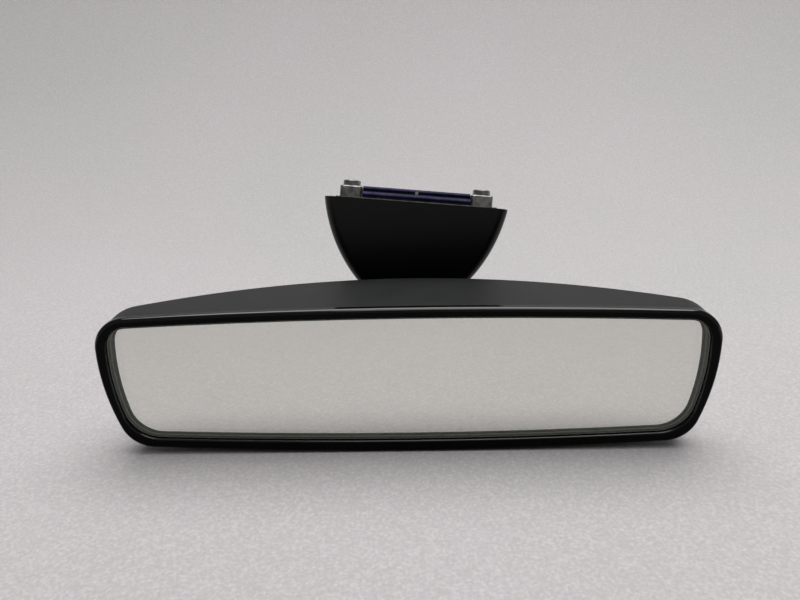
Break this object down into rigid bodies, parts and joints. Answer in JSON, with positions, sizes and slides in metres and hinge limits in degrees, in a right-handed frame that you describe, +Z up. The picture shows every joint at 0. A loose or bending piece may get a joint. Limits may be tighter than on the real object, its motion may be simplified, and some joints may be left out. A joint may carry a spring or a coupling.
{
  "type": "interior rearview mirror",
  "caption": "Wide interior rearview mirror with a day and night lever, a ball-jointed foot and a clip-on windscreen mount.",
  "frame": {"origin": "middle of the front land of the foot's seat, where the foot meets the plate on the windscreen", "axes": "+X to the driver's right along the mirror, +Y forward toward the windscreen, +Z up; the glass faces -Y"},
  "size_m": [0.2517, 0.0791, 0.1036],
  "materials": {
    "foot_cover": "moulded black plastic",
    "foot_casting": "raw zinc casting",
    "locating_lug_left": "raw zinc",
    "locating_lug_right": "raw zinc",
    "spring_clip": "blued spring steel",
    "clip_rivet": "bright steel",
    "clip_base_rivet_left": "plain steel",
    "clip_base_rivet_right": "plain steel",
    "ball_stud": "ground steel",
    "cover_screw": "black zinc-plated steel",
    "ball_seat_front": "natural acetal",
    "ball_seat_rear": "natural acetal",
    "toggle_bracket": "zinc-plated steel",
    "clamp_plate": "zinc-plated steel",
    "clamp_screw_left": "zinc-plated steel",
    "clamp_screw_right": "zinc-plated steel",
    "clamp_spring_left": "spring steel",
    "clamp_spring_right": "spring steel",
    "housing": "finely grained dark grey plastic",
    "bezel": "gloss black plastic",
    "glass_carrier": "black plastic",
    "mirror_glass": "clear float glass, slightly green at the edges",
    "mirror_coating": "silver",
    "adhesive_pad": "black foam tape",
    "tilt_pin": "steel",
    "lever_pin": "steel",
    "detent_spring": "spring steel",
    "day_night_lever": "black plastic"
  },
  "bodies": {
    "foot": {"foot_cover": "foot_cover", "foot_casting": "foot_casting", "locating_lug_left": "locating_lug_left", "locating_lug_right": "locating_lug_right", "spring_clip": "spring_clip", "clip_rivet": "clip_rivet", "clip_base_rivet_left": "clip_base_rivet_left", "clip_base_rivet_right": "clip_base_rivet_right", "ball_stud": "ball_stud", "cover_screw": "cover_screw"},
    "front_seat": {"ball_seat_front": "ball_seat_front"},
    "rear_seat": {"ball_seat_rear": "ball_seat_rear"},
    "carrier": {"toggle_bracket": "toggle_bracket", "clamp_plate": "clamp_plate", "clamp_screw_left": "clamp_screw_left", "clamp_screw_right": "clamp_screw_right", "clamp_spring_left": "clamp_spring_left", "clamp_spring_right": "clamp_spring_right"},
    "head": {"housing": "housing", "bezel": "bezel", "glass_carrier": "glass_carrier", "mirror_glass": "mirror_glass", "mirror_coating": "mirror_coating", "adhesive_pad": "adhesive_pad", "tilt_pin": "tilt_pin", "lever_pin": "lever_pin", "detent_spring": "detent_spring"},
    "lever": {"day_night_lever": "day_night_lever"}
  },
  "joints": [
    {"name": "ball_yaw", "type": "hinge", "parent": "foot", "child": "front_seat", "pos_m": [-0.00522, -0.02968, -0.05423], "axis": [0, 0, 1], "range_deg": [-15, 15]},
    {"name": "ball_pitch", "type": "hinge", "parent": "front_seat", "child": "rear_seat", "pos_m": [-0.00522, -0.02968, -0.05423], "axis": [1, 0, 0], "range_deg": [-10, 10]},
    {"name": "ball_roll", "type": "hinge", "parent": "rear_seat", "child": "carrier", "pos_m": [-0.00522, -0.02968, -0.05423], "axis": [0, 1, 0], "range_deg": [-8, 8]},
    {"name": "day_night_tilt", "type": "hinge", "parent": "carrier", "child": "head", "pos_m": [-0.00522, -0.03868, -0.03773], "axis": [-1, 0, 0], "range_deg": [0, 4]},
    {"name": "lever_turn", "type": "hinge", "parent": "head", "child": "lever", "pos_m": [-0.00522, -0.04218, -0.08823], "axis": [-1, 0, 0], "range_deg": [0, 60], "deforming": ["detent_spring"]}
  ],
  "couplings": [
    {"joint": "lever_turn", "follows": "day_night_tilt", "ratio": 15}
  ]
}
